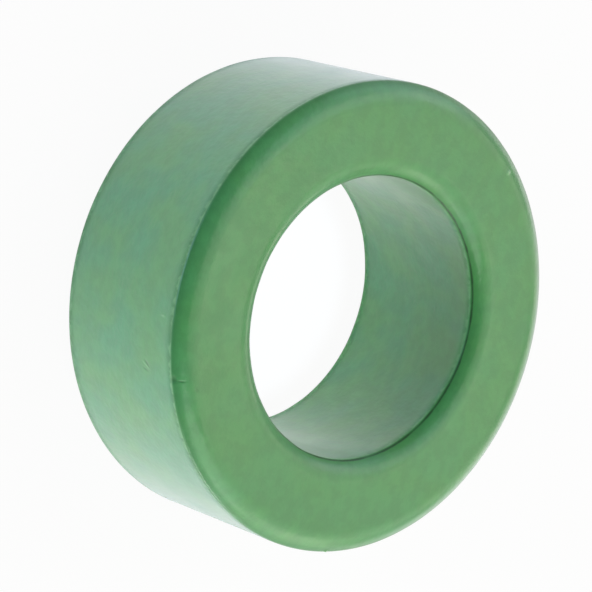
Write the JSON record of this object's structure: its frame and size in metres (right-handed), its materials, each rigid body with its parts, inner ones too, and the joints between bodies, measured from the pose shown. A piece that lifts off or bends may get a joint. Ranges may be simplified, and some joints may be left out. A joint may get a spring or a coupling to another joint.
{
  "type": "ferrite toroid core",
  "caption": "Thick coated magnetic ring with flat end faces, curved shoulders and a plain round bore, for winding an inductor, choke or transformer on.",
  "frame": {"origin": "centre of the lower flat end face, on the ring's axis; the ring lies on that face", "axes": "+Z along the ring's axis, from the lower end face to the upper; X and Y are any two radii at right angles, because the ring is round"},
  "size_m": [0.04, 0.04, 0.016],
  "materials": {
    "coating": "satin"
  },
  "bodies": {
    "root": {"toroid_core": "coating"}
  },
  "joints": []
}
